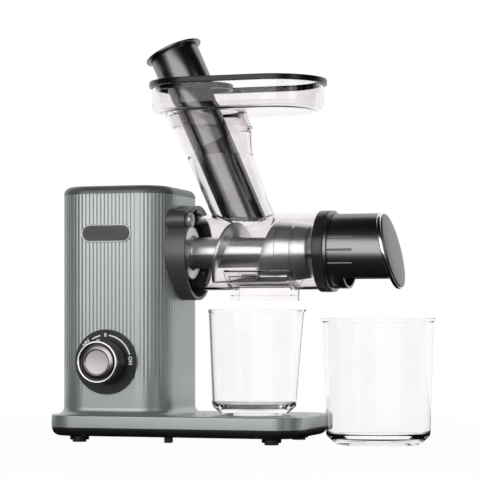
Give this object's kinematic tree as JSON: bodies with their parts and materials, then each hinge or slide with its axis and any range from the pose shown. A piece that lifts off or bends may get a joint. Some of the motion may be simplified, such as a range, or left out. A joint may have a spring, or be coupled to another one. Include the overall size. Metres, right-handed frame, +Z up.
{
  "type": "cold press juicer",
  "caption": "Horizontal slow juicer: ribbed motor tower on a long deck, clear auger chamber with feed tray, chute and pusher, pulp end cap, juice jug and pulp container.",
  "frame": {"origin": "centre of the base on the surface it stands on", "axes": "+X along the auger from the tower to the end cap, -Y to the front with the dial, +Z up"},
  "size_m": [0.3927, 0.1663, 0.4178],
  "materials": {
    "housing_paint": "satin metallic grey-green",
    "cap_grey": "satin dark grey",
    "black_plastic": "satin black",
    "gloss_black": "gloss black",
    "dark_plastic": "satin dark grey",
    "foot_rubber": "matt",
    "seal_rubber": "matt",
    "bright_trim": "polished",
    "steel": "turned",
    "brass_parts": "satin",
    "cast_plates": "as cast",
    "gear_plastic": "natural",
    "board_green": "satin",
    "motor_steel": "zinc plated",
    "auger_finish": "satin pale grey",
    "clear_plastic": "clear, polished",
    "strainer_steel": "etched"
  },
  "bodies": {
    "base": {"housing": "housing_paint", "top_cap": "cap_grey", "bottom_cover": "black_plastic", "rubber_feet": "foot_rubber", "support_peg": "black_plastic", "cover_screws": "steel", "badge_rim": "bright_trim", "badge_plate": "dark_plastic", "dial_plate": "black_plastic", "switch_body": "black_plastic", "control_board": "board_green", "cord_gland": "black_plastic", "rear_grille": "black_plastic", "coupling_ring": "dark_plastic", "return_spring": "steel", "gear_case": "cast_plates", "gear_cover": "cast_plates", "shaft_bushes": "brass_parts", "case_screws": "steel", "motor_can": "motor_steel", "motor_bracket": "cast_plates"},
    "knob": {"knob_body": "dark_plastic", "knob_ring": "bright_trim", "knob_cap": "bright_trim", "switch_shaft": "steel"},
    "release": {"release_button": "dark_plastic", "latch_stem": "steel"},
    "motor": {"motor_rotor": "motor_steel", "motor_fan": "black_plastic", "motor_pinion": "brass_parts"},
    "middle": {"middle_gear": "gear_plastic"},
    "drive": {"output_gear": "gear_plastic", "drive_shaft": "steel", "auger": "auger_finish"},
    "chamber": {"juicing_chamber": "clear_plastic", "tail_seal": "seal_rubber", "juice_strainer": "strainer_steel"},
    "tray": {"feed_tray": "clear_plastic", "tray_band": "gloss_black", "chute_guard": "gloss_black"},
    "pusher": {"pusher": "gloss_black", "pusher_lip": "gloss_black"},
    "cap": {"end_cap": "black_plastic", "end_seal": "seal_rubber", "cap_ring": "bright_trim", "cap_disc": "dark_plastic"},
    "collar": {"lock_collar": "dark_plastic"},
    "jug": {"juice_jug": "clear_plastic"},
    "container": {"pulp_container": "clear_plastic"}
  },
  "joints": [
    {"name": "knob_turn", "type": "hinge", "parent": "base", "child": "knob", "pos_m": [-0.068, -0.065, 0.0826], "axis": [0, -1, 0], "range_deg": [-90, 45]},
    {"name": "release_press", "type": "slide", "parent": "base", "child": "release", "axis": [-1, 0, 0], "range_m": [0, 0.004], "stiffness_N_per_m": 600, "springref_m": -0.002, "deforming": ["return_spring"]},
    {"name": "motor_spin", "type": "hinge", "parent": "base", "child": "motor", "pos_m": [-0.05, 0, 0.125], "axis": [1, 0, 0], "continuous": true},
    {"name": "middle_spin", "type": "hinge", "parent": "base", "child": "middle", "pos_m": [-0.04, 0, 0.16], "axis": [1, 0, 0], "continuous": true},
    {"name": "drive_spin", "type": "hinge", "parent": "base", "child": "drive", "pos_m": [-0.03, 0, 0.195], "axis": [1, 0, 0], "continuous": true},
    {"name": "chamber_lock", "type": "hinge", "parent": "base", "child": "chamber", "pos_m": [0, 0, 0.195], "axis": [1, 0, 0], "range_deg": [0, 35]},
    {"name": "tray_lift", "type": "slide", "parent": "chamber", "child": "tray", "axis": [-0.4067, 0, 0.9135], "range_m": [0, 0.06]},
    {"name": "pusher_lift", "type": "slide", "parent": "tray", "child": "pusher", "axis": [-0.4067, 0, 0.9135], "range_m": [0, 0.17]},
    {"name": "cap_pull", "type": "slide", "parent": "chamber", "child": "cap", "axis": [1, 0, 0], "range_m": [0, 0.06]},
    {"name": "collar_turn", "type": "hinge", "parent": "cap", "child": "collar", "pos_m": [0.147, 0, 0.195], "axis": [1, 0, 0], "range_deg": [0, 30]},
    {"name": "jug_slide", "type": "slide", "parent": "base", "child": "jug", "axis": [0, -1, 0], "range_m": [0, 0.15]},
    {"name": "container_slide", "type": "slide", "parent": "base", "child": "container", "axis": [0, -1, 0], "range_m": [0, 0.15]}
  ],
  "couplings": [
    {"joint": "middle_spin", "follows": "motor_spin", "ratio": -0.25},
    {"joint": "drive_spin", "follows": "motor_spin", "ratio": 0.0625}
  ]
}
